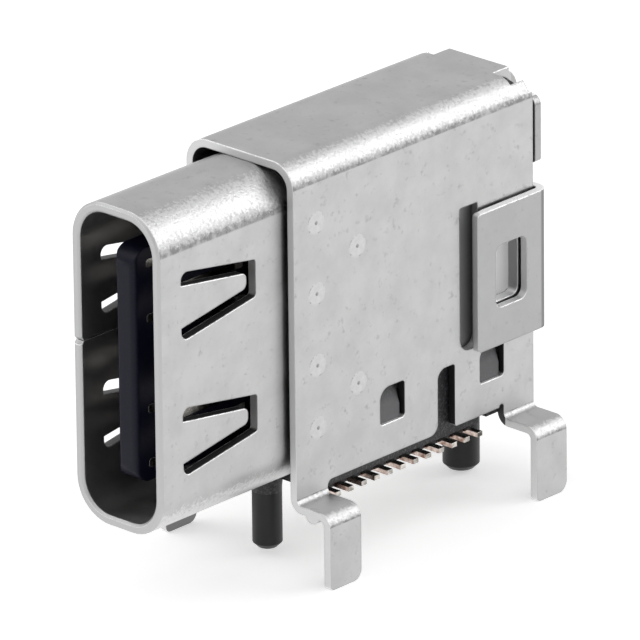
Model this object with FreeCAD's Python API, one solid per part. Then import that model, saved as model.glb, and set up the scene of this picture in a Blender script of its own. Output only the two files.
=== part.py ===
import FreeCAD, Part
import math
import os

# Upright USB type-C board receptacle: the mouth stands on its narrow side and looks along -Y.
# The frame is in millimetres: X across the mouth's width, +Y to the rear, +Z up.
# The origin is on the front locating peg's axis, in the plane of the board's upper surface.

Vector = FreeCAD.Vector

# Mating mouth and the wrapped front shell around it
mouth_width = 2.56
mouth_height = 8.34
mouth_corner = 0.87
mouth_depth = 5.90
shell_board_gap = 0.54
shell_sheet = 0.27
shell_lip_cut = 0.06
shell_ear_reach = 1.35
shell_ear_height = 5.70
seam_rise = 0.42
seam_gap = 0.03
seam_notch = 0.10

# Latch springs: a tapered finger between two slots in each side wall, above and below the axis
latch_offset = 1.865
latch_root = 0.80
latch_slot_length = 2.79
latch_slot_front = 1.92
latch_slot_rear = 1.02
latch_finger_root = 1.16
latch_finger_tip = 0.41
latch_tip_gap = 0.31
latch_inset = 0.05
latch_slot_round = 0.22

# Outer cover, folded from one sheet
cover_sheet = 0.22
cover_width = 3.78
cover_bend = 0.15
cover_top_bend = 0.50
neck_bend = 0.46
cover_setback = 4.66
cover_rear_overhang = 0.16
cover_skirt_height = 0.62
cover_top_gap = 0.01
fold_gap = 0.10

# Solder lugs: each wall steps outwards and down through the board
lug_width = 1.18
lug_span = 6.12
lug_shelf_top = 0.28
lug_depth = 1.82
lug_front_round = 0.16
lug_rear_round = 0.30
lug_relief = 0.09
lug_stub_radius = 0.24
lug_stub_reach = 2.42
lug_stub_rise = 0.13
lug_stub_length = 0.16

# Openings in the cover's side walls, in pairs, placed from the cover's front or rear edge
snap_window_length = 0.95
snap_window_height = 1.03
snap_window_bottom = 1.51
snap_window_corner = 0.10
snap_window_ramp_corner = 0.35
front_window_from_front = 3.21
rear_window_from_rear = 2.12
rework_slot_from_rear = 3.76
rework_slot_width = 0.67
rework_slot_top = 2.40
rework_slot_round = 0.30
rework_slot_corner = 0.08
tab_slot_from_rear = 2.87
tab_slot_width = 0.70
tab_slot_bottom = 2.64
tab_slot_top = 6.68
tab_slot_corner = 0.06

# Back flap and the tabs that wrap round from it
flap_neck_width = 2.10
flap_shoulder_drop = 0.69
flap_shoulder_round = 0.25
flap_waist_width = 3.00
flap_waist_over_tab = 0.65
flap_bottom = 0.75
flap_bottom_round = 0.30
flap_corner = 0.10
tab_gap = 0.09
tab_length = 2.82
tab_bottom = 2.58
tab_height = 3.89
tab_round = 0.12
neck_relief_width = 0.61
neck_relief_depth = 0.62
corner_trim = 0.13
corner_trim_drop = 0.49

# Pressed lock pocket that shows through each side tab
pocket_from_rear = 1.815
pocket_length = 1.235
pocket_bottom = 3.64
pocket_height = 1.76
pocket_round = 0.25
pocket_step = 0.04
pocket_depth = 0.33
pocket_wall = 0.12

# Eight-sided weld projections that join the cover to the front shell: setback, height over the axis
weld_radius = 0.15
weld_front_column = 5.50
weld_front_heights = (2.90, 0.94, -1.05, -2.79)
weld_rear_column = 7.05
weld_rear_heights = (1.82, -2.00)

# Tongue, its root and the flange that closes the mouth
tongue_thickness = 0.70
tongue_height = 6.44
tongue_setback = 0.32
tongue_nose = 0.18
tongue_corner = 0.50
root_length = 1.30
root_thickness = 1.24
root_height = 7.40
flange_thickness = 0.25
flange_past_peg_axis = 0.62

# Latch plate in the middle of the tongue, and the ground plates on its root
mid_sheet = 0.12
mid_setback = 0.75
mid_length = 8.00
mid_edge_setback = 1.30
mid_edge_length = 3.20
mid_notch_setback = 2.45
mid_notch_length = 0.50
mid_notch_depth = 0.35
ground_sheet = 0.12
ground_length = 1.18
ground_height = 6.00
ground_lip = 0.30

# Contacts: twelve in each row, nested L shapes with a foot bent outwards
contact_count = 12
contact_pitch = 0.50
contact_sheet = 0.13
contact_width = 0.24
contact_leg_width = 0.20
contact_front_long = 0.78
contact_front_short = 1.15
contact_nose = 0.05
long_contact_counts = (1, 4, 9, 12)
first_tail_gap = 0.16
foot_reach = 1.82
elbow_cut = 0.12

# Moulded wafers that hold the contacts' legs
wafer_inner = 0.10
wafer_outer = 0.75
wafer_margin = 0.30
wafer_floor = 0.20
wafer_rear_cut = 0.80

# Base housing with its board pegs, foot comb and snap bosses
housing_gap = 0.07
housing_neck_width = 2.50
housing_underside = 0.28
housing_foot_underside = 0.35
housing_shell_gap = 0.02
comb_width = 2.66
comb_clearance = 0.03
floor_past_peg_axis = 0.17
skirt_past_tails = 0.19
foot_past_tails = 0.49
rear_peg_past_tails = 1.26
housing_past_peg = 0.63
cavity_gap = 0.04
foot_gap = 0.02
peg_front_diameter = 0.80
peg_rear_diameter = 1.00
peg_root_flare = 0.05
peg_front_depth = 1.64
peg_rear_depth = 1.72
peg_chamfer = 0.14
boss_gap = 0.06
boss_length = 0.78
boss_rise = 0.20
boss_flat_share = 0.4
boss_round = 0.30
boss_foot_round = 0.06

# How far a cutter or a blank reaches past what it cuts
overshoot = 1.0

# Places worked out from the sizes above
flange_rear_y = flange_past_peg_axis
flange_front_y = flange_rear_y - flange_thickness
mouth_y = flange_front_y - mouth_depth
shell_half_width = mouth_width / 2 + shell_sheet
shell_half_height = mouth_height / 2 + shell_sheet
axis_z = shell_board_gap + shell_half_height
root_front_y = flange_front_y - root_length
ear_rear_y = flange_rear_y + shell_ear_reach
lead_outer = tongue_thickness / 2
lead_inner = lead_outer - contact_sheet
row_length = contact_pitch * (contact_count - 1)
first_lead_z = axis_z - row_length / 2
first_tail_y = flange_rear_y + first_tail_gap
last_tail_y = first_tail_y + row_length
wafer_rear_y = last_tail_y + wafer_margin
wafer_top_z = first_lead_z + row_length + contact_width / 2 + wafer_margin
rear_peg_y = last_tail_y + rear_peg_past_tails
housing_rear_y = rear_peg_y + housing_past_peg
cover_half = cover_width / 2
cover_inner = cover_half - cover_sheet
cover_top = axis_z + shell_half_height + cover_top_gap + cover_sheet
cover_front_y = mouth_y + cover_setback
cover_rear_y = housing_rear_y + cover_rear_overhang
neck_bend_outside = neck_bend + cover_sheet
top_bend_outside = cover_top_bend + cover_sheet
wall_foot_z = lug_shelf_top + cover_bend
flap_inner_y = cover_rear_y + fold_gap
flap_outer_y = flap_inner_y + cover_sheet
tab_inner = cover_half + tab_gap
tab_outer = tab_inner + cover_sheet
tab_front_y = flap_outer_y - tab_length
tab_top = tab_bottom + tab_height
pocket_y = cover_rear_y - pocket_from_rear
snap_window_places = (cover_front_y + front_window_from_front, cover_rear_y - rear_window_from_rear)
housing_half = cover_inner - housing_gap
housing_front_y = ear_rear_y + cavity_gap
housing_top_z = cover_top - cover_sheet - housing_gap


def in_xz(y):
    """Place a point of an XZ outline at depth y."""
    return lambda u, v: Vector(u, y, v)


def in_yz(x):
    """Place a point of a YZ outline at width x."""
    return lambda u, v: Vector(x, u, v)


def in_xy(z):
    """Place a point of an XY outline at height z."""
    return lambda u, v: Vector(u, v, z)


def rounded_face(corners, place):
    """Flat face from corners (u, v, radius), each corner rounded by its own radius."""
    count = len(corners)
    edges = []
    first_point = None
    last_point = None
    for index in range(count):
        u0, v0 = corners[index - 1][:2]
        u1, v1, radius = corners[index]
        u2, v2 = corners[(index + 1) % count][:2]
        to_last = Vector(u0 - u1, v0 - v1, 0).normalize()
        to_next = Vector(u2 - u1, v2 - v1, 0).normalize()
        start = end = Vector(u1, v1, 0)
        middle = None
        if radius > 0:
            half_angle = to_last.getAngle(to_next) / 2
            trim = radius / math.tan(half_angle)
            start = Vector(u1, v1, 0) + to_last * trim
            end = Vector(u1, v1, 0) + to_next * trim
            inward = (to_last + to_next).normalize()
            middle = Vector(u1, v1, 0) + inward * (radius / math.sin(half_angle) - radius)
        start_point = place(start.x, start.y)
        end_point = place(end.x, end.y)
        if first_point is None:
            first_point = start_point
        elif last_point.distanceToPoint(start_point) > 1e-6:
            edges.append(Part.LineSegment(last_point, start_point).toShape())
        if middle is not None:
            edges.append(Part.Arc(start_point, place(middle.x, middle.y), end_point).toShape())
        last_point = end_point
    if last_point.distanceToPoint(first_point) > 1e-6:
        edges.append(Part.LineSegment(last_point, first_point).toShape())
    return Part.Face(Part.Wire(edges))


def strip_corners(path, sheet, inside_radius):
    """Outline of a folded strip: path is one face of the sheet, the other lies to its left."""
    near = []
    far = []
    last = len(path) - 1
    for index, (u, v) in enumerate(path):
        before = path[max(index - 1, 0)]
        after = path[min(index + 1, last)]
        if index == 0:
            before = (2 * u - after[0], 2 * v - after[1])
        if index == last:
            after = (2 * u - before[0], 2 * v - before[1])
        along_in = Vector(u - before[0], v - before[1], 0).normalize()
        along_out = Vector(after[0] - u, after[1] - v, 0).normalize()
        turn = along_in.cross(along_out).z
        left = (Vector(-along_in.y, along_in.x, 0) + Vector(-along_out.y, along_out.x, 0)).normalize()
        reach = sheet / left.dot(Vector(-along_in.y, along_in.x, 0))
        near_radius = far_radius = 0
        if turn > 1e-6:
            near_radius = inside_radius + sheet
            far_radius = inside_radius
        elif turn < -1e-6:
            near_radius = inside_radius
            far_radius = inside_radius + sheet
        near.append((u, v, near_radius))
        far.append((u + left.x * reach, v + left.y * reach, far_radius))
    return near + far[::-1]


def box(x0, x1, y0, y1, z0, z1):
    return Part.makeBox(x1 - x0, y1 - y0, z1 - z0, Vector(x0, y0, z0))


def plate_x(corners, x0, x1):
    """Plate cut to a YZ outline, from x0 to x1."""
    return rounded_face(corners, in_yz(x0)).extrude(Vector(x1 - x0, 0, 0))


def plate_y(corners, y0, y1):
    """Plate cut to an XZ outline, from y0 to y1."""
    return rounded_face(corners, in_xz(y0)).extrude(Vector(0, y1 - y0, 0))


def plate_z(corners, z0, z1):
    """Plate cut to an XY outline, from z0 to z1."""
    return rounded_face(corners, in_xy(z0)).extrude(Vector(0, 0, z1 - z0))


def rectangle(u0, u1, v0, v1, radius=0):
    return [(u0, v0, radius), (u1, v0, radius), (u1, v1, radius), (u0, v1, radius)]


def mirrored(shape):
    """The same form on the other side of the middle plane."""
    return shape.mirror(Vector(0, 0, 0), Vector(1, 0, 0))


def on_both_sides(shapes):
    return list(shapes) + [mirrored(shape) for shape in shapes]


def section(half_width, half_height, radius, y0, y1):
    """Rounded bar that follows the mouth's section."""
    corners = rectangle(-half_width, half_width, axis_z - half_height, axis_z + half_height, radius)
    return plate_y(corners, y0, y1)


def latch_finger(offset):
    """Spring finger of the right wall: flush at its root and inset at its round tip."""
    root_y = mouth_y + latch_root
    tip_y = root_y + latch_slot_length - latch_tip_gap
    z = axis_z + offset
    tip_radius = latch_finger_tip / 2
    outline = [
        (root_y - latch_slot_round, z - latch_finger_root / 2, 0),
        (root_y, z - latch_finger_root / 2, 0),
        (tip_y, z - tip_radius, tip_radius * 0.9),
        (tip_y, z + tip_radius, tip_radius * 0.9),
        (root_y, z + latch_finger_root / 2, 0),
        (root_y - latch_slot_round, z + latch_finger_root / 2, 0),
    ]
    blank = plate_x(outline, 0, shell_half_width + overshoot)
    path = [
        (shell_half_width, root_y - latch_slot_round),
        (shell_half_width, root_y),
        (shell_half_width - latch_inset, tip_y),
    ]
    bent = plate_z(strip_corners(path, shell_sheet, 0), z - latch_finger_root, z + latch_finger_root)
    return bent.common(blank)


def latch_window(offset):
    """Opening around a spring finger, wider at its front than at its rear."""
    front_y = mouth_y + latch_root
    rear_y = front_y + latch_slot_length
    z = axis_z + offset
    outline = [
        (front_y, z - latch_slot_front / 2, latch_slot_round),
        (rear_y, z - latch_slot_rear / 2, latch_slot_round / 2),
        (rear_y, z + latch_slot_rear / 2, latch_slot_round / 2),
        (front_y, z + latch_slot_front / 2, latch_slot_round),
    ]
    return plate_x(outline, shell_half_width - 2 * shell_sheet, shell_half_width + overshoot)


def front_shell():
    """Sheet wrapped into a tube, butt-jointed on its left side, with ears at the rear."""
    end_y = flange_rear_y
    outer = section(shell_half_width, shell_half_height, mouth_corner + shell_sheet, mouth_y, end_y)
    bore = section(mouth_width / 2, mouth_height / 2, mouth_corner, mouth_y - overshoot, end_y + overshoot)
    tube = outer.cut(bore)
    lip = [edge for edge in tube.Edges if edge.BoundBox.YMax < mouth_y + 1e-6]
    tube = tube.makeChamfer(shell_lip_cut, lip)
    ear = box(mouth_width / 2, shell_half_width, end_y - overshoot, ear_rear_y,
              axis_z - shell_ear_height / 2, axis_z + shell_ear_height / 2)
    tube = tube.fuse(on_both_sides([ear]))
    windows = on_both_sides([latch_window(offset) for offset in (latch_offset, -latch_offset)])
    fingers = on_both_sides([latch_finger(offset) for offset in (latch_offset, -latch_offset)])
    tube = tube.cut(windows).fuse(fingers)
    seam_z = axis_z + seam_rise
    seam_x = -shell_half_width - overshoot
    seam = box(seam_x, 0, mouth_y - overshoot, ear_rear_y + overshoot,
               seam_z - seam_gap / 2, seam_z + seam_gap / 2)
    notch = Part.makeCylinder(seam_notch, -seam_x, Vector(seam_x, mouth_y, seam_z), Vector(1, 0, 0))
    return tube.cut([seam, notch]).removeSplitter()


def cover_wall():
    """Flat right wall of the cover, cut away over the contact feet and at the rework slot."""
    top_z = cover_top - top_bend_outside
    front_lug_y = cover_front_y + lug_width
    rear_lug_y = cover_rear_y - lug_width
    slot_y0 = cover_rear_y - rework_slot_from_rear
    slot_y1 = slot_y0 + rework_slot_width
    skirt_z = cover_skirt_height
    foot_round = (skirt_z - wall_foot_z) * 0.9
    outline = [
        (cover_front_y, top_z, 0),
        (cover_front_y, wall_foot_z, 0),
        (front_lug_y, wall_foot_z, 0),
        (front_lug_y, skirt_z, foot_round),
        (slot_y0, skirt_z, rework_slot_round),
        (slot_y0, rework_slot_top, rework_slot_round),
        (slot_y1, rework_slot_top, rework_slot_corner),
        (slot_y1, skirt_z, rework_slot_corner),
        (rear_lug_y, skirt_z, 0),
        (rear_lug_y, wall_foot_z, 0),
        (cover_rear_y, wall_foot_z, 0),
        (cover_rear_y, top_z, 0),
    ]
    return plate_x(outline, cover_inner, cover_half)


def solder_lug(front_y):
    """Lug that steps out from the wall, with a rounded tip below the board."""
    lug_outer = lug_span / 2
    path = [
        (cover_half, wall_foot_z),
        (cover_half, lug_shelf_top),
        (lug_outer, lug_shelf_top),
        (lug_outer, -lug_depth),
    ]
    strip = plate_y(strip_corners(path[::-1], cover_sheet, cover_bend), front_y, front_y + lug_width)
    outline = [
        (front_y, -lug_depth, lug_front_round),
        (front_y + lug_width, -lug_depth, lug_rear_round),
        (front_y + lug_width, cover_skirt_height, 0),
        (front_y, cover_skirt_height, 0),
    ]
    return strip.common(plate_x(outline, 0, lug_span))


def strip_stub():
    """Half-round stub under the front lug's edge, left where the blank was cut from its strip."""
    disc = Part.makeCylinder(lug_stub_radius, lug_stub_length,
                             Vector(lug_stub_reach, cover_front_y, lug_stub_rise), Vector(0, 1, 0))
    lower_half = box(0, lug_span, cover_front_y, cover_front_y + lug_width, -lug_depth, lug_stub_rise)
    return disc.common(lower_half)


def lock_pocket():
    """Cup pressed inwards from the right wall, behind the tab's opening."""
    y0 = pocket_y + pocket_step
    y1 = y0 + pocket_length - 2 * pocket_step
    z0 = pocket_bottom + pocket_step
    z1 = z0 + pocket_height - 2 * pocket_step
    wall = pocket_wall
    floor_x = cover_half - pocket_depth
    round_inside = pocket_round - pocket_step
    cup_outline = rectangle(y0 - wall, y1 + wall, z0 - wall, z1 + wall, round_inside + wall)
    cup = plate_x(cup_outline, floor_x - wall, cover_half)
    hollow = plate_x(rectangle(y0, y1, z0, z1, round_inside), floor_x, cover_half + overshoot)
    return cup, hollow


def wall_openings():
    """Snap windows and the slot beside the tab, through the right wall."""
    x0 = cover_inner - cover_sheet / 2
    x1 = cover_half + cover_sheet / 2
    z0 = snap_window_bottom
    z1 = z0 + snap_window_height
    openings = []
    for y0 in snap_window_places:
        y1 = y0 + snap_window_length
        window = [
            (y0, z0, snap_window_corner),
            (y1, z0, snap_window_corner),
            (y1, z1, snap_window_corner),
            (y0, z1, snap_window_ramp_corner),
        ]
        openings.append(plate_x(window, x0, x1))
    y0 = cover_rear_y - tab_slot_from_rear
    y1 = y0 + tab_slot_width
    bottom_round = tab_slot_width * 0.47
    slot = [
        (y0, tab_slot_bottom, bottom_round),
        (y1, tab_slot_bottom, bottom_round),
        (y1, tab_slot_top, tab_slot_corner),
        (y0, tab_slot_top, tab_slot_corner),
    ]
    openings.append(plate_x(slot, x0, x1))
    relief_place = Vector(x0, cover_rear_y - lug_width - lug_relief, cover_skirt_height)
    openings.append(Part.makeCylinder(lug_relief, x1 - x0, relief_place, Vector(1, 0, 0)))
    return openings


def weld_projections():
    """Low projections on the wall's inner face that meet the front shell."""
    spots = [(weld_front_column, height) for height in weld_front_heights]
    spots += [(weld_rear_column, height) for height in weld_rear_heights]
    projections = []
    for setback, height in spots:
        y = mouth_y + setback
        z = axis_z + height
        outline = []
        for step in range(8):
            turn = math.pi * (2 * step + 1) / 8
            outline.append((y + weld_radius * math.cos(turn), z + weld_radius * math.sin(turn), 0))
        projections.append(plate_x(outline, shell_half_width, cover_inner))
    return projections


def side_tab():
    """Tab that wraps from the back flap round the rear edge of the right wall."""
    root_x = flap_waist_width / 2 - cover_sheet
    path = [(root_x, flap_outer_y), (tab_outer, flap_outer_y), (tab_outer, tab_front_y)]
    tab = plate_z(strip_corners(path[::-1], cover_sheet, cover_bend), tab_bottom, tab_top)
    outline = [
        (tab_front_y, tab_bottom, tab_round),
        (flap_outer_y, tab_bottom, 0),
        (flap_outer_y, tab_top, 0),
        (tab_front_y, tab_top, tab_round),
    ]
    tab = tab.common(plate_x(outline, 0, tab_outer))
    opening = rectangle(pocket_y, pocket_y + pocket_length,
                        pocket_bottom, pocket_bottom + pocket_height, pocket_round)
    return tab.cut(plate_x(opening, tab_inner - tab_gap / 2, tab_outer + overshoot))


def back_flap():
    """Flap folded down from the roof: a narrow neck, wide shoulders, a waist and a lower leaf."""
    neck_half = flap_neck_width / 2
    shoulder_half = cover_half
    waist_half = flap_waist_width / 2
    shoulder_z = cover_top - flap_shoulder_drop
    waist_z = tab_top + flap_waist_over_tab
    path = [(cover_rear_y - neck_relief_depth, cover_top), (flap_outer_y, cover_top),
            (flap_outer_y, shoulder_z)]
    fold = plate_x(strip_corners(path[::-1], cover_sheet, neck_bend), -neck_half, neck_half)
    right_side = [
        (neck_half, cover_top - neck_bend_outside, 0),
        (neck_half, shoulder_z, flap_corner),
        (shoulder_half, shoulder_z, flap_shoulder_round),
        (shoulder_half, waist_z, flap_corner),
        (waist_half, waist_z, flap_corner),
        (waist_half, flap_bottom, flap_bottom_round),
    ]
    left_side = [(-u, v, radius) for u, v, radius in right_side[::-1]]
    leaf = plate_y(right_side + left_side, flap_inner_y, flap_outer_y)
    return [fold, leaf]


def rear_cover():
    """Roof, two walls, four lugs, back flap and side tabs, all folded from one sheet."""
    roof_path = [(-cover_half, cover_top - top_bend_outside), (-cover_half, cover_top),
                 (cover_half, cover_top), (cover_half, cover_top - top_bend_outside)]
    roof_section = strip_corners(roof_path[::-1], cover_sheet, cover_top_bend)
    roof = plate_y(roof_section, cover_front_y, cover_rear_y)
    lugs = [solder_lug(cover_front_y), solder_lug(cover_rear_y - lug_width)]
    cup, hollow = lock_pocket()
    side = [cover_wall(), cup, side_tab(), strip_stub()] + lugs + weld_projections()
    shell_of_cover = roof.fuse(on_both_sides(side))
    neck_half = flap_neck_width / 2
    past_y = cover_rear_y + overshoot
    past_z = cover_top + overshoot
    relief = box(neck_half, neck_half + neck_relief_width, cover_rear_y - neck_relief_depth, past_y,
                 cover_top - top_bend_outside, past_z)
    trim = box(neck_half, cover_half + overshoot, cover_rear_y - corner_trim, past_y,
               cover_top - corner_trim_drop, past_z)
    body = shell_of_cover.cut(on_both_sides(wall_openings() + [hollow, relief, trim]))
    return body.fuse(back_flap()).removeSplitter()


def lead_height(number):
    return first_lead_z + contact_pitch * (number - 1)


def tail_depth(number):
    return first_tail_y + contact_pitch * (number - 1)


def contact(number):
    """Right-hand contact: along the tongue, down behind the mouth, and out at a coined bend."""
    front = contact_front_long if number in long_contact_counts else contact_front_short
    y0 = mouth_y + front
    z = lead_height(number)
    y = tail_depth(number)
    half = contact_width / 2
    leg = contact_leg_width / 2
    blank = plate_x([
        (y0, z - half + contact_nose, 0),
        (y0 + contact_nose, z - half, 0),
        (y - leg, z - half, 0),
        (y - leg, contact_sheet, 0),
        (y + leg, contact_sheet, 0),
        (y + leg, z + half - elbow_cut, 0),
        (y + leg - elbow_cut, z + half, 0),
        (y0 + contact_nose, z + half, 0),
        (y0, z + half - contact_nose, 0),
    ], lead_inner, lead_outer)
    path = [(lead_inner, 2 * contact_sheet), (lead_inner, 0), (foot_reach, 0)]
    foot = plate_y(strip_corners(path, contact_sheet, 0), y - leg, y + leg)
    return blank.fuse(foot).removeSplitter()


def mid_plate():
    """Latch plate in the tongue's middle plane; its edges show at the tongue's two sides."""
    y0 = mouth_y + mid_setback
    edge_y0 = mouth_y + mid_edge_setback
    edge_y1 = edge_y0 + mid_edge_length
    half = tongue_height / 2
    inner_half = half - mid_notch_depth
    core_half = contact_pitch * contact_count / 2
    upper = [
        (y0, axis_z + inner_half, 0),
        (edge_y0, axis_z + inner_half, 0),
        (edge_y0, axis_z + half, 0),
        (mouth_y + mid_notch_setback, axis_z + half, 0),
        (mouth_y + mid_notch_setback, axis_z + inner_half, 0),
        (mouth_y + mid_notch_setback + mid_notch_length, axis_z + inner_half, 0),
        (mouth_y + mid_notch_setback + mid_notch_length, axis_z + half, 0),
        (edge_y1, axis_z + half, 0),
        (edge_y1, axis_z + core_half, 0),
        (y0 + mid_length, axis_z + core_half, 0),
    ]
    lower = [(u, 2 * axis_z - v, radius) for u, v, radius in upper[::-1]]
    return plate_x(upper + lower, -mid_sheet / 2, mid_sheet / 2)


def ground_plate():
    """Right-hand ground plate on the tongue's root, with a lip along its front edge."""
    x0 = root_thickness / 2
    y0 = root_front_y
    leaf = box(x0, x0 + ground_sheet, y0, y0 + ground_length,
               axis_z - ground_height / 2, axis_z + ground_height / 2)
    lip = box(lead_outer + ground_sheet, x0 + ground_sheet, y0 - ground_sheet, y0,
              axis_z - ground_height / 2 + ground_lip, axis_z + ground_height / 2 - ground_lip)
    return leaf.fuse(lip).removeSplitter()


def tongue_moulding(contacts, plate):
    """Tongue, stepped root and flange, moulded round the contacts and the latch plate."""
    y0 = mouth_y + tongue_setback
    half = tongue_thickness / 2
    z0 = axis_z - tongue_height / 2
    z1 = axis_z + tongue_height / 2
    y1 = flange_front_y
    side_view = [(y0, z0, tongue_corner), (y1, z0, 0), (y1, z1, 0), (y0, z1, tongue_corner)]
    top_view = [(-half, y0, tongue_nose), (half, y0, tongue_nose), (half, y1, 0), (-half, y1, 0)]
    blade = plate_x(side_view, -half, half).common(plate_z(top_view, z0, z1))
    root = box(-root_thickness / 2, root_thickness / 2, root_front_y, flange_front_y,
               axis_z - root_height / 2, axis_z + root_height / 2)
    flange = section(mouth_width / 2, mouth_height / 2, mouth_corner, flange_front_y, flange_rear_y)
    return blade.fuse([root, flange]).cut(contacts + [plate]).removeSplitter()


def contact_wafer(contacts):
    """Right-hand wafer, moulded round the legs of its twelve contacts."""
    outline = [
        (flange_rear_y, wafer_floor, 0),
        (wafer_rear_y, wafer_floor, 0),
        (wafer_rear_y, wafer_top_z - wafer_rear_cut, 0),
        (wafer_rear_y - wafer_rear_cut, wafer_top_z, 0),
        (flange_rear_y, wafer_top_z, 0),
    ]
    return plate_x(outline, wafer_inner, wafer_outer).cut(contacts).removeSplitter()


def board_peg(y, diameter, depth, top_z):
    """Peg with a chamfered tip and, above the board, a root that flares into the housing."""
    root_z = comb_clearance
    radius = diameter / 2
    peg = Part.makeCylinder(radius, depth + root_z, Vector(0, y, -depth))
    tip = [edge for edge in peg.Edges if edge.BoundBox.ZMax < -depth + 1e-6]
    root = Part.makeCone(radius, radius + peg_root_flare, top_z - root_z, Vector(0, y, root_z))
    return peg.makeChamfer(peg_chamfer, tip).fuse(root)


def snap_boss(window_y):
    """Boss that the cover's window snaps over: a ramp at its top and a square edge below."""
    y0 = window_y + boss_gap
    y1 = y0 + boss_length
    z0 = snap_window_bottom
    z1 = snap_window_bottom + snap_window_height - boss_gap
    root = housing_half - boss_rise
    face = housing_half + boss_rise
    ramp_z = z0 + (z1 - z0) * boss_flat_share
    profile = [(root, z0, 0), (face, z0, 0), (face, ramp_z, 0), (housing_half, z1, 0), (root, z1, 0)]
    outline = [
        (y0, z0, boss_foot_round),
        (y1, z0, boss_foot_round),
        (y1, z1, boss_round),
        (y0, z1, boss_round),
    ]
    return plate_y(profile, y0, y1).common(plate_x(outline, root, face))


def base_housing():
    """Block behind the mouth with a cavity for the wafers, a comb for the feet, and two pegs."""
    neck_half = housing_neck_width / 2
    comb_half = comb_width / 2
    skirt_y0 = flange_rear_y + cavity_gap
    skirt_y1 = last_tail_y + skirt_past_tails
    foot_y = last_tail_y + foot_past_tails
    floor_top_z = axis_z - shell_half_height - housing_shell_gap
    base_z = cover_skirt_height
    cavity_top_z = wafer_top_z + cavity_gap
    top_round = cover_top_bend - housing_gap
    block_section = [
        (-housing_half, base_z, 0),
        (housing_half, base_z, 0),
        (housing_half, housing_top_z, top_round),
        (-housing_half, housing_top_z, top_round),
    ]
    block = plate_y(block_section, housing_front_y, housing_rear_y)
    neck = box(-neck_half, neck_half, flange_rear_y, housing_front_y, base_z, cavity_top_z)
    floor = box(-housing_half, housing_half, floor_past_peg_axis, skirt_y1, housing_underside, floor_top_z)
    skirt = box(-housing_half, housing_half, skirt_y0, skirt_y1, housing_underside, base_z)
    comb = box(-comb_half, comb_half, skirt_y0, skirt_y1, comb_clearance, housing_underside)
    foot = box(-housing_half, housing_half, foot_y, housing_rear_y, housing_foot_underside, base_z)
    pegs = [board_peg(0, peg_front_diameter, peg_front_depth, floor_top_z),
            board_peg(rear_peg_y, peg_rear_diameter, peg_rear_depth, base_z)]
    bosses = on_both_sides([snap_boss(window_y) for window_y in snap_window_places])
    body = block.fuse([neck, floor, skirt, comb, foot] + pegs + bosses)
    cavity = box(-wafer_outer, wafer_outer, flange_rear_y, wafer_rear_y + cavity_gap, 0, cavity_top_z)
    notch_half = contact_leg_width / 2 + foot_gap
    notch_top = contact_sheet + foot_gap
    notch_x = comb_half + overshoot
    notches = []
    for number in range(1, contact_count + 1):
        y = tail_depth(number)
        notches.append(box(-notch_x, notch_x, y - notch_half, y + notch_half, 0, notch_top))
    pocket_top = pocket_bottom + pocket_height
    recess_edge = rectangle(pocket_y - pocket_wall, pocket_y + pocket_length + pocket_wall,
                            pocket_bottom - pocket_wall, pocket_top + pocket_wall)
    recess_floor = cover_half - pocket_depth - pocket_wall - foot_gap
    recess = plate_x(recess_edge, recess_floor, housing_half + overshoot)
    return body.cut([cavity] + notches + on_both_sides([recess])).removeSplitter()


def build():
    """All pieces by node name."""
    right_contacts = [contact(number) for number in range(1, contact_count + 1)]
    left_contacts = [mirrored(shape) for shape in right_contacts]
    plate = mid_plate()
    wafer = contact_wafer(right_contacts)
    ground = ground_plate()
    pieces = {
        "front_shell": front_shell(),
        "rear_cover": rear_cover(),
        "tongue_moulding": tongue_moulding(right_contacts + left_contacts, plate),
        "mid_plate": plate,
        "ground_plate_right": ground,
        "ground_plate_left": mirrored(ground),
        "contact_wafer_right": wafer,
        "contact_wafer_left": mirrored(wafer),
        "base_housing": base_housing(),
    }
    for number in range(1, contact_count + 1):
        pieces["contact_a%02d" % number] = right_contacts[number - 1]
        pieces["contact_b%02d" % number] = left_contacts[number - 1]
    return pieces


os.makedirs("parts", exist_ok=True)
for name, piece in build().items():
    piece.exportStep("parts/%s.step" % name)
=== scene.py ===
import math

import bmesh
import bpy
from mathutils import Matrix, Vector


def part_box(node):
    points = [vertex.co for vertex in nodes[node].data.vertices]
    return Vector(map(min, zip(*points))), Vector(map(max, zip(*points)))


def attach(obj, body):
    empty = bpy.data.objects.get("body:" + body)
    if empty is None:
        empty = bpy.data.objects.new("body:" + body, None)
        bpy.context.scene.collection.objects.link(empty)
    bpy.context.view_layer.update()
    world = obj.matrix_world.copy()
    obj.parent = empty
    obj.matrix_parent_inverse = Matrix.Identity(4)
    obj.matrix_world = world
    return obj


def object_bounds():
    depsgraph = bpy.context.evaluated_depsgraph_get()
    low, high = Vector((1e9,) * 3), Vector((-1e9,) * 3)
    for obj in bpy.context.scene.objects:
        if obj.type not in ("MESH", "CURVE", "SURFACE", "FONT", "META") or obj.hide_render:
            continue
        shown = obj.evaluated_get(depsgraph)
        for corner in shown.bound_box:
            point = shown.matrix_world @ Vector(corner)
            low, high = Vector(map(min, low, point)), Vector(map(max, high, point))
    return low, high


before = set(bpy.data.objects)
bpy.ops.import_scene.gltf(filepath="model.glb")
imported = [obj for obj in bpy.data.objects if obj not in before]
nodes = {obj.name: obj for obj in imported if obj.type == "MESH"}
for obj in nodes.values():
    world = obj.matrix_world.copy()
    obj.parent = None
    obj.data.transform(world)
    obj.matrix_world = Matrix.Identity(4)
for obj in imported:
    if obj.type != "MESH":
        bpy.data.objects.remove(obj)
cad_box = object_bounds()

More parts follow.
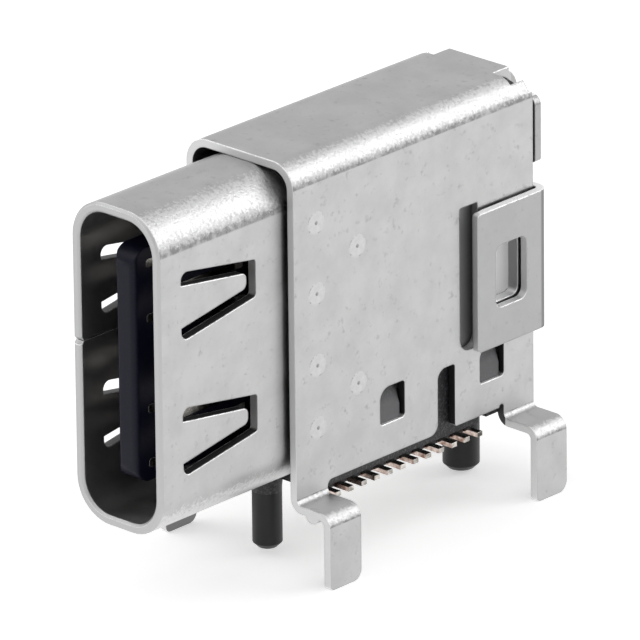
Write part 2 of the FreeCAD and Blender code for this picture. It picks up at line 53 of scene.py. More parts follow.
# Camera. A long lens from the front right and above, as for a catalogue picture.
# It looks a little to the right of the mouth's front face and is rolled by about half a degree.
MM = 0.001
shell_low, shell_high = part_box("front_shell")
mouth = Vector((0, shell_low.y, (shell_low.z + shell_high.z) / 2))
camera_azimuth = math.radians(43.117)
camera_elevation = math.radians(21.628)
camera_roll = math.radians(-0.629)
camera_distance = 278.44 * MM
aim_right = 5.215 * MM
aim_up = 1.207 * MM
sensor_millimetres = 36
lens_millimetres = 611.9
back = Vector((
    math.sin(camera_azimuth) * math.cos(camera_elevation),
    -math.cos(camera_azimuth) * math.cos(camera_elevation),
    math.sin(camera_elevation),
))
level_right = Vector((math.cos(camera_azimuth), math.sin(camera_azimuth), 0))
level_up = back.cross(level_right)
camera_right = level_right * math.cos(camera_roll) + level_up * math.sin(camera_roll)
camera_up = level_up * math.cos(camera_roll) - level_right * math.sin(camera_roll)
camera_data = bpy.data.cameras.new("camera")
camera_data.sensor_width = sensor_millimetres
camera_data.lens = lens_millimetres
camera_data.clip_start = 20 * MM
camera_data.clip_end = 20000 * MM
camera = bpy.data.objects.new("camera", camera_data)
camera_place = mouth + level_right * aim_right + level_up * aim_up + back * camera_distance
camera_turn = Matrix((camera_right, camera_up, back)).transposed().to_4x4()
camera.matrix_world = Matrix.Translation(camera_place) @ camera_turn
bpy.context.scene.collection.objects.link(camera)
bpy.context.scene.camera = camera
bpy.context.scene.view_settings.view_transform = "Standard"


# Floor. A sheet of matt white card that runs far past the object and keeps its soft shadow.
# It glows a little to the camera and in the metal's mirror, so that it looks as white as it is.
def linear(code):
    """A colour written as sRGB hex, in the linear values that shaders use."""
    channels = []
    for start in (1, 3, 5):
        value = int(code[start:start + 2], 16) / 255
        channels.append(value / 12.92 if value <= 0.04045 else ((value + 0.055) / 1.055) ** 2.4)
    return (*channels, 1.0)


def add_node(tree, kind, inputs=None, **settings):
    """A shader node with its settings.

    Each input gets a value, an output, or a node that stands for the output it has in use.
    """
    node = tree.nodes.new("ShaderNode" + kind)
    for name, value in settings.items():
        setattr(node, name, value)
    for name, value in (inputs or {}).items():
        if isinstance(value, bpy.types.Node):
            value = next(output for output in value.outputs if output.enabled)
        if isinstance(value, bpy.types.NodeSocket):
            tree.links.new(value, node.inputs[name])
        else:
            node.inputs[name].default_value = value
    return node


def new_material(name):
    """A material without nodes yet."""
    material = bpy.data.materials.new(name)
    material.use_nodes = True
    material.node_tree.nodes.clear()
    return material


floor_half = 400 * MM
card_fibre = 0.4 * MM
glow_seen = 0.48
glow_mirrored = 0.63
floor_mesh = bpy.data.meshes.new("floor")
floor_corners = [
    (x * floor_half, y * floor_half, cad_box[0][2])
    for x, y in ((-1, -1), (1, -1), (1, 1), (-1, 1))
]
floor_mesh.from_pydata(floor_corners, [], [(0, 1, 2, 3)])
floor = bpy.data.objects.new("floor", floor_mesh)
bpy.context.scene.collection.objects.link(floor)
white_card = new_material("white_card")
card = white_card.node_tree
fibres = add_node(card, "TexNoise", {
    "Vector": add_node(card, "TexCoord").outputs["Object"],
    "Scale": 1 / card_fibre,
})
card_tone = add_node(card, "Mix", {
    "Factor": fibres, "A": linear("#F2F2F2"), "B": linear("#F6F6F6"),
}, data_type="RGBA")
card_light = add_node(card, "LightPath")
card_seen = add_node(card, "Math", {
    0: card_light.outputs["Is Camera Ray"], 1: glow_seen,
}, operation="MULTIPLY")
card_glow = add_node(card, "Math", {
    0: card_light.outputs["Is Glossy Ray"], 1: glow_mirrored, 2: card_seen,
}, operation="MULTIPLY_ADD")
card_surface = add_node(card, "AddShader", {
    0: add_node(card, "BsdfDiffuse", {"Color": card_tone}),
    1: add_node(card, "Emission", {"Strength": card_glow}),
})
add_node(card, "OutputMaterial", {"Surface": card_surface})
floor_mesh.materials.append(white_card)

# Light. A white room that shines softly, and three soft boxes round the object.
# The one at the right and behind draws the white line along each bend of the sheet metal.
room_glow = 0.55
lamp_distance = 400 * MM
room = bpy.data.worlds.new("white_room")
room.use_nodes = True
room_tree = room.node_tree
room_tree.nodes.clear()
room_light = add_node(room_tree, "LightPath")
room_seen = add_node(room_tree, "Math", {
    0: room_light.outputs["Is Camera Ray"],
    1: room_light.outputs["Is Glossy Ray"],
}, operation="MAXIMUM")
room_white = add_node(room_tree, "Math", {
    0: room_seen,
    1: room_light.outputs["Is Transmission Ray"],
}, operation="MAXIMUM")
room_strength = add_node(room_tree, "MapRange", {"Value": room_white, "To Min": room_glow})
room_walls = add_node(room_tree, "Background", {
    "Color": linear("#EDEDED"), "Strength": room_strength,
})
add_node(room_tree, "OutputWorld", {"Surface": room_walls})
bpy.context.scene.world = room


def soft_box(name, azimuth, elevation, width, height, brightness):
    """Lamp that faces the object, width by height in millimetres. A brightness of 1 is white."""
    data = bpy.data.lights.new(name, "AREA")
    data.shape = "RECTANGLE"
    data.size = width * MM
    data.size_y = height * MM
    data.energy = brightness * math.pi * data.size * data.size_y
    lamp = bpy.data.objects.new(name, data)
    turn = math.radians(azimuth)
    rise = math.radians(elevation)
    toward = Vector((
        math.sin(turn) * math.cos(rise),
        -math.cos(turn) * math.cos(rise),
        math.sin(rise),
    ))
    lamp.location = mouth + toward * lamp_distance
    lamp.rotation_euler = toward.to_track_quat("Z", "Y").to_euler()
    bpy.context.scene.collection.objects.link(lamp)


soft_box("soft_box_back_right", azimuth=143, elevation=25, width=220, height=300, brightness=1.8)
soft_box("soft_box_front_left", azimuth=-60, elevation=45, width=300, height=300, brightness=1.0)
soft_box("soft_box_above", azimuth=20, elevation=80, width=250, height=250, brightness=1.0)

# Front shell. A tube wrapped from satin nickel-plated steel sheet, butt-jointed on the left side.
# Four latch springs are cut out of its walls. The punch rolls its edges over a little.
edge_round = 0.06 * MM
# Where the finish of the sheet and its painted light and shade change, on this shell and on the
# cover of the same steel: back from the front peg's axis, out from the middle, or up from the board
lip_behind = -5.2 * MM
openings_behind = 0.5 * MM
windows_below = 2.6 * MM
pocket_behind = 5.0 * MM
pocket_within = 1.80 * MM
pocket_below = 6.0 * MM
tabs_beyond = 1.94 * MM
lugs_below = 1.5 * MM
bend_behind = 7.6 * MM
flap_from = 8.42 * MM


def smooth_bends(piece):
    """Joins the piece's facets into whole faces, and shades its bends round and its edges sharp."""
    same_point = 0.0005 * MM
    same_plane = math.radians(0.5)
    sharp_from = math.radians(28)
    weld = piece.modifiers.new("weld", "WELD")
    weld.merge_threshold = same_point
    flat = piece.modifiers.new("flat", "DECIMATE")
    flat.decimate_type = "DISSOLVE"
    flat.angle_limit = same_plane
    sharp_edges = piece.modifiers.new("sharp_edges", "EDGE_SPLIT")
    sharp_edges.split_angle = sharp_from
    piece.modifiers.new("normals", "WEIGHTED_NORMAL").keep_sharp = True
    piece.data.shade_smooth()


def nickel_plated_steel(name, wall_inside, cut_above, front_cut_tone, top_cut_painted_tone, inner_shade_tone):
    """Rolled steel sheet with satin nickel plating.

    To the eye it is pale, with faint clouds and a few dull specks. Its bends are crinkled and
    burnished, and painted paler as a highlight, with a dark ragged line painted along their foot
    as a reflection. Sheared edges are rougher, their tops are painted light and shade, and they
    are painted white as a highlight where they are broken over and look up. Those of the walls lie
    beyond wall_inside, above cut_above. The walls' inner side, the tabs, the back flap's bend and
    the edges in the cover's openings have painted shade, and the pocket floor has painted light.
    """
    cloud_size = 0.9 * MM
    smudge_size = 0.22 * MM
    skin_size = 0.09 * MM
    # The plating's grain is about 0.005 mm, too fine to show, so it is drawn eight times as coarse.
    grain_size = 0.04 * MM
    raggedness = 0.4
    crinkling = 0.8
    # How much of a face's direction points along the shell or to the side, out of 1
    bend_most_endways = 0.3
    end_least_endways = 0.7
    edge_most_sideways = 0.35
    pocket_least_sideways = 0.8
    tab_shade_share = 0.5
    pocket_roughness = 0.8
    sheared_roughness = 0.55
    material = new_material(name)
    tree = material.node_tree
    place = add_node(tree, "TexCoord").outputs["Object"]
    right, rear, height = add_node(tree, "SeparateXYZ", {0: place}).outputs
    from_middle = add_node(tree, "Math", {0: right}, operation="ABSOLUTE")
    normal = add_node(tree, "NewGeometry").outputs["Normal"]
    facing_right, facing_rear, facing_up = add_node(tree, "SeparateXYZ", {0: normal}).outputs
    sideways = add_node(tree, "Math", {0: facing_right}, operation="ABSOLUTE")
    endways = add_node(tree, "Math", {0: facing_rear}, operation="ABSOLUTE")
    upright = add_node(tree, "Math", {0: facing_up}, operation="ABSOLUTE")
    clouds = add_node(tree, "TexNoise", {
        "Vector": place, "Scale": 1 / cloud_size, "Detail": 4.0, "Roughness": 0.6,
    })
    smudges = add_node(tree, "TexNoise", {
        "Vector": place, "Scale": 1 / smudge_size, "Detail": 3.0, "Roughness": 0.6,
    })
    grains = add_node(tree, "TexNoise", {
        "Vector": place, "Scale": 1 / grain_size, "Detail": 3.0, "Roughness": 0.6,
    })
    skin = add_node(tree, "TexNoise", {
        "Vector": place, "Scale": 1 / skin_size, "Detail": 3.0, "Roughness": 0.65,
    })
    # Whole sheet: clouds, then specks
    cloudy = add_node(tree, "MapRange", {"Value": clouds, "From Min": 0.35, "From Max": 0.65})
    sheet = add_node(tree, "Mix", {
        "Factor": cloudy, "A": linear("#B0B0B0"), "B": linear("#BBBBBB"),
    }, data_type="RGBA")
    specks = add_node(tree, "MapRange", {"Value": smudges, "From Min": 0.60, "From Max": 0.80})
    speckled = add_node(tree, "Mix", {
        "Factor": specks, "A": sheet, "B": linear("#9A9A9A"),
    }, data_type="RGBA")
    # Foot of each bend, on the side that looks out from the middle: a dark ragged line painted
    # there as a reflection
    outwards = add_node(tree, "Math", {
        0: add_node(tree, "Math", {0: facing_right, 1: right}, operation="MULTIPLY"),
        1: 0.0,
    }, operation="GREATER_THAN")
    ragged = add_node(tree, "Math", {
        0: skin, 1: raggedness, 2: facing_up,
    }, operation="MULTIPLY_ADD")
    foot_begins = add_node(tree, "MapRange", {
        "Value": facing_up, "From Min": 0.05, "From Max": 0.10,
    }, interpolation_type="SMOOTHSTEP")
    foot_ends = add_node(tree, "MapRange", {
        "Value": ragged, "From Min": 0.36, "From Max": 0.50, "To Min": 1.0, "To Max": 0.0,
    }, interpolation_type="SMOOTHSTEP")
    across = add_node(tree, "Math", {0: endways, 1: bend_most_endways}, operation="LESS_THAN")
    foot = add_node(tree, "Math", {0: foot_begins, 1: foot_ends}, operation="MULTIPLY")
    foot_outside = add_node(tree, "Math", {
        0: foot,
        1: add_node(tree, "Math", {0: outwards, 1: across}, operation="MULTIPLY"),
    }, operation="MULTIPLY")
    foot_dark_reflection = add_node(tree, "Math", {
        0: foot_outside,
        1: add_node(tree, "MapRange", {
            "Value": smudges, "From Min": 0.35, "From Max": 0.60, "To Min": 0.25,
        }),
    }, operation="MULTIPLY")
    foot_reflected_sheet = add_node(tree, "Mix", {
        "Factor": foot_dark_reflection, "A": speckled, "B": linear("#808080"),
    }, data_type="RGBA")
    # Bends, crinkled by the stretch and burnished by the die that they slid over, and painted paler
    # as a highlight
    bent = add_node(tree, "Math", {
        0: outwards,
        1: add_node(tree, "Math", {0: sideways, 1: upright}, operation="MULTIPLY"),
    }, operation="MULTIPLY")
    crinkled = add_node(tree, "Math", {0: skin, 1: crinkling, 2: bent}, operation="MULTIPLY_ADD")
    burnished = add_node(tree, "MapRange", {"Value": crinkled, "From Min": 0.68, "From Max": 0.86})
    burnished_highlit_sheet = add_node(tree, "Mix", {
        "Factor": burnished, "A": foot_reflected_sheet, "B": linear("#D2D2D2"),
    }, data_type="RGBA")
    # Beginning of the back flap's bend, painted darker than the roof before it as shade
    flap_bend_begins = add_node(tree, "MapRange", {
        "Value": endways, "From Min": 0.04, "From Max": 0.10,
    })
    flap_bend_ends = add_node(tree, "MapRange", {
        "Value": endways, "From Min": 0.40, "From Max": 0.60, "To Min": 1.0, "To Max": 0.0,
    })
    flap_bend = add_node(tree, "Math", {
        0: add_node(tree, "Math", {0: flap_bend_begins, 1: flap_bend_ends}, operation="MULTIPLY"),
        1: add_node(tree, "Math", {0: rear, 1: bend_behind}, operation="GREATER_THAN"),
    }, operation="MULTIPLY")
    flap_bend_shaded_sheet = add_node(tree, "Mix", {
        "Factor": flap_bend, "A": burnished_highlit_sheet, "B": linear("#8A8A8A"),
    }, data_type="RGBA")
    # Inner side of the walls, in a tone painted as shade, darkest on the cover
    inwards = add_node(tree, "Math", {
        0: sideways,
        1: add_node(tree, "Math", {0: 1.0, 1: outwards}, operation="SUBTRACT"),
    }, operation="MULTIPLY")
    inner_shaded_sheet = add_node(tree, "Mix", {
        "Factor": inwards, "A": flap_bend_shaded_sheet, "B": linear(inner_shade_tone),
    }, data_type="RGBA")
    # Sheared edges: those that look ahead or back, and those in the walls that don't look sideways.
    # Up and down they have the top tone and ahead the front one. The top tone is painted light and
    # shade: a white highlight on the cover, dark shade in the shell's walls. The shell's lip is
    # pale all round.
    beyond = add_node(tree, "Math", {0: from_middle, 1: wall_inside}, operation="GREATER_THAN")
    not_sideways = add_node(tree, "Math", {
        0: sideways, 1: edge_most_sideways,
    }, operation="LESS_THAN")
    above = add_node(tree, "Math", {0: height, 1: cut_above}, operation="GREATER_THAN")
    in_wall = add_node(tree, "Math", {
        0: beyond,
        1: add_node(tree, "Math", {0: not_sideways, 1: above}, operation="MULTIPLY"),
    }, operation="MULTIPLY")
    ahead = add_node(tree, "Math", {
        0: add_node(tree, "Math", {0: endways, 1: end_least_endways}, operation="GREATER_THAN"),
        1: add_node(tree, "Math", {0: rear, 1: flap_from}, operation="LESS_THAN"),
    }, operation="MULTIPLY")
    sheared = add_node(tree, "Math", {0: in_wall, 1: ahead}, operation="MAXIMUM")
    behind_lip = add_node(tree, "Math", {0: rear, 1: lip_behind}, operation="GREATER_THAN")
    top_cut = add_node(tree, "Math", {
        0: add_node(tree, "MapRange", {"Value": upright, "From Min": 0.4, "From Max": 0.8}),
        1: behind_lip,
    }, operation="MULTIPLY")
    cut = add_node(tree, "Mix", {
        "Factor": top_cut, "A": linear(front_cut_tone), "B": linear(top_cut_painted_tone),
    }, data_type="RGBA")
    # Upright edges of the cover's openings, painted darker as shade, darkest in the windows
    in_opening = add_node(tree, "Math", {
        0: add_node(tree, "Math", {0: from_middle, 1: tabs_beyond}, operation="LESS_THAN"),
        1: add_node(tree, "Math", {0: rear, 1: openings_behind}, operation="GREATER_THAN"),
    }, operation="MULTIPLY")
    punched = add_node(tree, "Mix", {
        "Factor": add_node(tree, "Math", {0: height, 1: windows_below}, operation="LESS_THAN"),
        "A": linear("#969696"), "B": linear("#4A4A4A"),
    }, data_type="RGBA")
    cut_edge_painted = add_node(tree, "Mix", {
        "Factor": add_node(tree, "Math", {
            0: in_opening,
            1: add_node(tree, "Math", {0: 1.0, 1: top_cut}, operation="SUBTRACT"),
        }, operation="MULTIPLY"),
        "A": cut, "B": punched,
    }, data_type="RGBA")
    # Tabs and back flap, painted darker as shade
    tab_and_flap_shade = add_node(tree, "Math", {
        0: add_node(tree, "Math", {
            0: add_node(tree, "Math", {0: from_middle, 1: tabs_beyond}, operation="GREATER_THAN"),
            1: add_node(tree, "Math", {0: height, 1: lugs_below}, operation="GREATER_THAN"),
        }, operation="MULTIPLY"),
        1: add_node(tree, "Math", {0: rear, 1: flap_from}, operation="GREATER_THAN"),
    }, operation="MAXIMUM")
    tab_shaded_sheet = add_node(tree, "Mix", {
        "Factor": add_node(tree, "Math", {0: tab_and_flap_shade, 1: tab_shade_share}, operation="MULTIPLY"),
        "A": inner_shaded_sheet, "B": linear("#929292"),
    }, data_type="RGBA")
    # Floor of the lock pocket, painted near white as painted light
    in_pocket = add_node(tree, "Math", {
        0: add_node(tree, "Math", {
            0: add_node(tree, "Math", {0: from_middle, 1: pocket_within}, operation="LESS_THAN"),
            1: add_node(tree, "Math", {0: rear, 1: pocket_behind}, operation="GREATER_THAN"),
        }, operation="MULTIPLY"),
        1: add_node(tree, "Math", {
            0: add_node(tree, "Math", {0: height, 1: pocket_below}, operation="LESS_THAN"),
            1: add_node(tree, "Math", {
                0: sideways, 1: pocket_least_sideways,
            }, operation="GREATER_THAN"),
        }, operation="MULTIPLY"),
    }, operation="MULTIPLY")
    pocket_lit_sheet = add_node(tree, "Mix", {
        "Factor": add_node(tree, "Math", {0: in_pocket, 1: outwards}, operation="MULTIPLY"),
        "A": tab_shaded_sheet, "B": linear("#F0F0F0"),
    }, data_type="RGBA")
    sheet_and_edges = add_node(tree, "Mix", {
        "Factor": sheared, "A": pocket_lit_sheet, "B": cut_edge_painted,
    }, data_type="RGBA")
    # Broken edges, painted white where they look up as a painted highlight
    rounded = add_node(tree, "Bevel", {"Radius": edge_round}, samples=6)
    on_edge = add_node(tree, "MapRange", {
        "Value": add_node(tree, "VectorMath", {0: rounded, 1: normal}, operation="DOT_PRODUCT"),
        "From Min": 0.88, "From Max": 0.98, "To Min": 1.0, "To Max": 0.0,
    })
    edge_up = add_node(tree, "MapRange", {
        "Value": add_node(tree, "SeparateXYZ", {0: rounded}).outputs["Z"],
        "From Min": 0.1, "From Max": 0.4,
    })
    # The painted edge highlight comes in patches along the edge.
    polished = add_node(tree, "MapRange", {
        "Value": smudges, "From Min": 0.36, "From Max": 0.50, "To Min": 0.25,
    })
    colour = add_node(tree, "Mix", {
        "Factor": add_node(tree, "Math", {
            0: add_node(tree, "Math", {0: on_edge, 1: edge_up}, operation="MULTIPLY"),
            1: polished,
        }, operation="MULTIPLY"),
        "A": sheet_and_edges, "B": linear("#FFFFFF"),
    }, data_type="RGBA")
    # Satin of the plating, with the rougher pocket and sheared edges
    satin = add_node(tree, "MapRange", {"Value": clouds, "To Min": 0.26, "To Max": 0.50})
    rough_pocket = add_node(tree, "Mix", {
        "Factor": in_pocket, "A": satin, "B": pocket_roughness,
    })
    roughness = add_node(tree, "Mix", {
        "Factor": sheared, "A": rough_pocket, "B": sheared_roughness,
    })
    # Grain, and the skin of the bends, which is coarsest at the lugs
    grain_bump = add_node(tree, "Bump", {
        "Height": grains, "Strength": 0.35, "Distance": 0.002 * MM, "Normal": rounded,
    })
    coarseness = add_node(tree, "MapRange", {
        "Value": height, "From Min": 0.5 * MM, "From Max": lugs_below,
        "To Min": 5.0, "To Max": 4.0,
    })
    skin_height = add_node(tree, "Math", {
        0: skin,
        1: add_node(tree, "Math", {0: bent, 1: coarseness}, operation="MULTIPLY"),
    }, operation="MULTIPLY")
    skin_bump = add_node(tree, "Bump", {
        "Height": skin_height, "Strength": 0.7, "Distance": 0.016 * MM, "Normal": grain_bump,
    })
    # At a grazing angle the metal mirrors white, but on the flap's bend the mirror tint is dimmed
    # as painted shade
    rim_tint = add_node(tree, "Mix", {
        "Factor": flap_bend, "A": linear("#FFFFFF"), "B": linear("#A8A8A8"),
    }, data_type="RGBA")
    surface = add_node(tree, "BsdfPrincipled", {
        "Base Color": colour,
        "Metallic": 1.0,
        "Roughness": roughness,
        "Specular Tint": rim_tint,
        "Normal": skin_bump,
    })
    add_node(tree, "OutputMaterial", {"Surface": surface})
    return material


def dress(piece, material):
    """Gives the whole piece one material."""
    piece.data.materials.clear()
    piece.data.materials.append(material)


front_shell = nodes["front_shell"]
smooth_bends(front_shell)
dress(front_shell, nickel_plated_steel(
    "nickel_plated_shell_steel", wall_inside=1.2 * MM, cut_above=0.0,
    front_cut_tone="#BBBBBB", top_cut_painted_tone="#606060", inner_shade_tone="#B6B6B6"))

# Rear cover. One folded sheet of the same steel, with solder lugs, a back flap and two side tabs.
# Six electrode marks on each wall show where it is spot-welded to the front shell.
rear_cover = nodes["rear_cover"]
smooth_bends(rear_cover)
dress(rear_cover, nickel_plated_steel(
    "nickel_plated_cover_steel", wall_inside=1.6 * MM, cut_above=0.45 * MM,
    front_cut_tone="#D2D2D2", top_cut_painted_tone="#FAFAFA", inner_shade_tone="#7A7A7A"))
wall_outside = 1.89 * MM
# Millimetres behind the mouth's front face, and over its middle
weld_spots = [(5.50, 2.90), (5.50, 0.94), (5.50, -1.05), (5.50, -2.79), (7.05, 1.82), (7.05, -2.00)]


def electrode_pressed_steel(name):
    """Nickel-plated steel pressed by an electrode: paler, smoother, scorched in the middle."""
    smudge_size = 0.12 * MM
    material = new_material(name)
    tree = material.node_tree
    place = add_node(tree, "TexCoord").outputs["Object"]
    reach = add_node(tree, "VectorMath", {0: place}, operation="LENGTH")
    smudge = add_node(tree, "TexNoise", {"Vector": place, "Scale": 1 / smudge_size, "Detail": 3.0})
    middle = add_node(tree, "MapRange", {
        "Value": reach, "From Min": 0.03 * MM, "From Max": 0.075 * MM, "To Min": 1.0, "To Max": 0.0,
    }, interpolation_type="SMOOTHSTEP")
    scorch = add_node(tree, "Math", {0: middle, 1: smudge}, operation="MULTIPLY")
    dish = add_node(tree, "Mix", {
        "Factor": smudge, "A": linear("#B4B4B4"), "B": linear("#C8C8C8"),
    }, data_type="RGBA")
    rim = add_node(tree, "MapRange", {
        "Value": reach, "From Min": 0.265 * MM, "From Max": 0.30 * MM,
    })
    rim_dust = add_node(tree, "Math", {
        0: rim,
        1: add_node(tree, "MapRange", {"Value": smudge, "From Min": 0.50, "From Max": 0.64}),
    }, operation="MULTIPLY")
    rimmed = add_node(tree, "Mix", {
        "Factor": rim_dust, "A": dish, "B": linear("#989898"),
    }, data_type="RGBA")
    colour = add_node(tree, "Mix", {
        "Factor": scorch, "A": rimmed, "B": linear("#1E1E1E"),
    }, data_type="RGBA")
    surface = add_node(tree, "BsdfPrincipled", {
        "Base Color": colour, "Metallic": 1.0, "Roughness": 0.36,
    })
    add_node(tree, "OutputMaterial", {"Surface": surface})
    return material


pressed_steel = electrode_pressed_steel("electrode_pressed_steel")
# Radius and height over the wall in millimetres, from the dimple in the middle to the rim and down
# into the wall
mark_profile = [(0.0, 0.001), (0.03, 0.002), (0.055, 0.007), (0.21, 0.004), (0.26, 0.005),
                (0.28, 0.0045), (0.32, 0.0), (0.40, -0.012), (0.40, -0.02)]
mark_steps = 32


def electrode_mark(name, side, setback, rise):
    """Shallow dish that a spot-welding electrode leaves, with a dimple in its middle."""
    mesh = bmesh.new()
    rings = []
    for radius, height in mark_profile[1:]:
        ring = []
        for step in range(mark_steps):
            turn = 2 * math.pi * step / mark_steps
            along = radius * MM * math.cos(turn)
            upward = side * radius * MM * math.sin(turn)
            ring.append(mesh.verts.new((side * height * MM, along, upward)))
        rings.append(ring)
    middle = mesh.verts.new((side * mark_profile[0][1] * MM, 0, 0))
    root = mesh.verts.new((side * mark_profile[-1][1] * MM, 0, 0))
    for step in range(mark_steps):
        after = (step + 1) % mark_steps
        mesh.faces.new((middle, rings[0][step], rings[0][after]))
        mesh.faces.new((root, rings[-1][after], rings[-1][step]))
        for inner, outer in zip(rings, rings[1:]):
            mesh.faces.new((inner[step], outer[step], outer[after], inner[after]))
    data = bpy.data.meshes.new(name)
    mesh.to_mesh(data)
    mesh.free()
    data.shade_smooth()
    mark = bpy.data.objects.new(name, data)
    mark.location = (side * wall_outside, shell_low.y + setback * MM, mouth.z + rise * MM)
    bpy.context.scene.collection.objects.link(mark)
    dress(mark, pressed_steel)
    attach(mark, "root")


for number, (setback, rise) in enumerate(weld_spots, 1):
    electrode_mark("electrode_mark_right_%d" % number, 1, setback, rise)
    electrode_mark("electrode_mark_left_%d" % number, -1, setback, rise)

# Tongue. Black glass-filled liquid-crystal polymer, moulded round the contacts.
# It is smooth from the mould, and the black has a touch of blue.


def moulded_black(name, tone, fibre_tone, peg_shade_tone, roughness, fibre_size, index):
    """Glass-filled polymer from a polished mould: dark, with pale specks of fibre and a low sheen.

    Below the board's surface, on the pegs, the colour is painted darker as shade. The fibres are
    about
    0.01 mm thick, too fine to show, so fibre_size draws them five or six times as coarse.
    """
    flow_size = 0.8 * MM
    sheen_spread = 0.08
    pegs_below = -0.05 * MM
    material = new_material(name)
    tree = material.node_tree
    place = add_node(tree, "TexCoord").outputs["Object"]
    height = add_node(tree, "SeparateXYZ", {0: place}).outputs["Z"]
    flow = add_node(tree, "TexNoise", {"Vector": place, "Scale": 1 / flow_size, "Detail": 3.0})
    fibres = add_node(tree, "TexNoise", {
        "Vector": place, "Scale": 1 / fibre_size, "Detail": 2.0, "Roughness": 0.5,
    })
    fibred = add_node(tree, "Mix", {
        "Factor": add_node(tree, "MapRange", {"Value": fibres, "From Min": 0.50, "From Max": 0.75}),
        "A": linear(tone), "B": linear(fibre_tone),
    }, data_type="RGBA")
    colour = add_node(tree, "Mix", {
        "Factor": add_node(tree, "Math", {0: height, 1: pegs_below}, operation="LESS_THAN"),
        "A": fibred, "B": linear(peg_shade_tone),
    }, data_type="RGBA")
    sheen = add_node(tree, "MapRange", {
        "Value": flow, "To Min": roughness - sheen_spread, "To Max": roughness + sheen_spread,
    })
    bump = add_node(tree, "Bump", {
        "Height": fibres, "Strength": 0.4, "Distance": 0.004 * MM,
        "Normal": add_node(tree, "Bevel", {"Radius": edge_round}, samples=4),
    })
    surface = add_node(tree, "BsdfPrincipled", {
        "Base Color": colour, "Roughness": sheen, "IOR": index, "Normal": bump,
    })
    add_node(tree, "OutputMaterial", {"Surface": surface})
    return material


tongue = nodes["tongue_moulding"]
smooth_bends(tongue)
dress(tongue, moulded_black(
    "black_tongue_polymer", tone="#0C0C1E", fibre_tone="#16162E", peg_shade_tone="#0C0C1E",
    roughness=0.40, fibre_size=0.05 * MM, index=1.26))

# Base housing and wafers. The same kind of polymer in a plainer matt black.
# The wafers hold the contacts' legs, and the cover's walls snap over the housing's bosses.
housing_polymer = moulded_black(
    "black_housing_polymer", tone="#2C2C2E", fibre_tone="#5A5A5C", peg_shade_tone="#070709",
    roughness=0.46, fibre_size=0.06 * MM, index=1.42)
# Out from the middle, back from the front peg's axis, and up from the board
boss_foot = 1.62 * MM
boss_crest = 1.76 * MM
slot_light_from = 5.75 * MM
slot_light_to = 6.45 * MM
slot_light_bottom = 2.5 * MM
slot_light_top = 6.8 * MM
housing_tree = housing_polymer.node_tree
housing_place = add_node(housing_tree, "TexCoord").outputs["Object"]
housing_right, housing_rear, housing_height = add_node(
    housing_tree, "SeparateXYZ", {0: housing_place}).outputs
housing_skin = next(node for node in housing_tree.nodes if node.type == "BSDF_PRINCIPLED")
# The bosses are painted paler as painted light, more the further out they stand.
on_boss = add_node(housing_tree, "MapRange", {
    "Value": add_node(housing_tree, "Math", {0: housing_right}, operation="ABSOLUTE"),
    "From Min": boss_foot, "From Max": boss_crest, "To Max": 0.75,
})
boss_lit_skin = add_node(housing_tree, "Mix", {
    "Factor": on_boss,
    "A": housing_skin.inputs["Base Color"].links[0].from_socket,
    "B": linear("#727274"),
}, data_type="RGBA")
# Behind the slot in front of each side tab the housing's wall is painted grey as painted light,
# most at its front.
slot_light_front = add_node(housing_tree, "MapRange", {
    "Value": housing_rear, "From Min": slot_light_from, "From Max": slot_light_to,
    "To Min": 1.0, "To Max": 0.0,
})
above_bottom = add_node(housing_tree, "Math", {
    0: housing_height, 1: slot_light_bottom,
}, operation="GREATER_THAN")
below_top = add_node(housing_tree, "Math", {
    0: housing_height, 1: slot_light_top,
}, operation="LESS_THAN")
slot_light = add_node(housing_tree, "Math", {
    0: slot_light_front,
    1: add_node(housing_tree, "Math", {0: above_bottom, 1: below_top}, operation="MULTIPLY"),
}, operation="MULTIPLY")
slot_lit_skin = add_node(housing_tree, "Mix", {
    "Factor": slot_light, "A": boss_lit_skin, "B": linear("#B4B4B4"),
}, data_type="RGBA")
housing_tree.links.new(slot_lit_skin.outputs["Result"], housing_skin.inputs["Base Color"])
for name in ("base_housing", "contact_wafer_right", "contact_wafer_left"):
    smooth_bends(nodes[name])
    dress(nodes[name], housing_polymer)

# Latch plate and ground plates. Bright steel strip, stamped flat, in and on the tongue.
# The plug's latches grip the latch plate, and its ground springs rub on the two others.


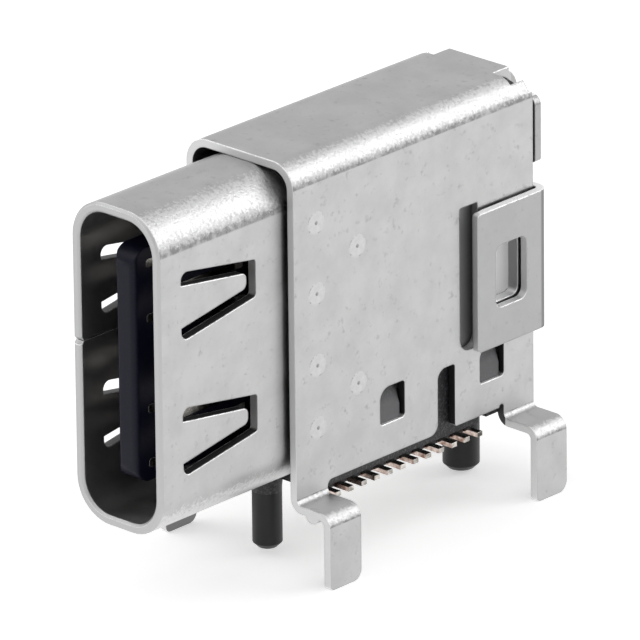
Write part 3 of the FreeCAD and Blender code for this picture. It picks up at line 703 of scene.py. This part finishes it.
def bright_steel_strip(name):
    """Cold-rolled steel with fine lines along the rolling direction."""
    # The lines are about 0.01 mm wide, too fine to show, so they are drawn three times as coarse.
    line_width = 0.03 * MM
    length_scale = 0.06
    material = new_material(name)
    tree = material.node_tree
    along = add_node(tree, "Mapping", {
        "Vector": add_node(tree, "TexCoord").outputs["Object"],
        "Scale": (1.0, length_scale, 1.0),
    })
    lines = add_node(tree, "TexNoise", {"Vector": along, "Scale": 1 / line_width, "Detail": 2.0})
    colour = add_node(tree, "Mix", {
        "Factor": lines, "A": linear("#9C9C9C"), "B": linear("#B8B8B8"),
    }, data_type="RGBA")
    bump = add_node(tree, "Bump", {"Height": lines, "Strength": 0.3, "Distance": 0.002 * MM})
    surface = add_node(tree, "BsdfPrincipled", {
        "Base Color": colour, "Metallic": 1.0, "Roughness": 0.30, "Normal": bump,
    })
    add_node(tree, "OutputMaterial", {"Surface": surface})
    return material


strip_steel = bright_steel_strip("cold_rolled_steel")
for name in ("mid_plate", "ground_plate_right", "ground_plate_left"):
    smooth_bends(nodes[name])
    dress(nodes[name], strip_steel)

# Contacts. Stamped from plated copper alloy, moulded into the tongue, twelve in each row.
# The rolled faces carry the plating, and the punched sides are bare.


def plated_copper_alloy(name):
    """Copper alloy whose flat faces are plated grey and whose punched sides show pinkish metal."""
    stain_size = 0.2 * MM
    punched_from = 0.6
    corner_round = 0.02 * MM
    material = new_material(name)
    tree = material.node_tree
    place = add_node(tree, "TexCoord").outputs["Object"]
    stains = add_node(tree, "TexNoise", {"Vector": place, "Scale": 1 / stain_size, "Detail": 3.0})
    stained = add_node(tree, "MapRange", {"Value": stains, "From Min": 0.35, "From Max": 0.65})
    normal = add_node(tree, "NewGeometry").outputs["Normal"]
    facing_rear = add_node(tree, "SeparateXYZ", {0: normal}).outputs["Y"]
    endways = add_node(tree, "Math", {0: facing_rear}, operation="ABSOLUTE")
    punched = add_node(tree, "Math", {0: endways, 1: punched_from}, operation="GREATER_THAN")
    plating = add_node(tree, "Mix", {
        "Factor": stained, "A": linear("#8E8A84"), "B": linear("#CFCAC4"),
    }, data_type="RGBA")
    bare = add_node(tree, "Mix", {
        "Factor": stained, "A": linear("#8A6F62"), "B": linear("#DCCCC4"),
    }, data_type="RGBA")
    colour = add_node(tree, "Mix", {"Factor": punched, "A": plating, "B": bare}, data_type="RGBA")
    surface = add_node(tree, "BsdfPrincipled", {
        "Base Color": colour, "Metallic": 1.0, "Roughness": 0.16,
        "Normal": add_node(tree, "Bevel", {"Radius": corner_round}, samples=4),
    })
    add_node(tree, "OutputMaterial", {"Surface": surface})
    return material


contact_metal = plated_copper_alloy("plated_copper_alloy")
for name in sorted(nodes):
    if name.startswith(("contact_a", "contact_b")):
        smooth_bends(nodes[name])
        dress(nodes[name], contact_metal)
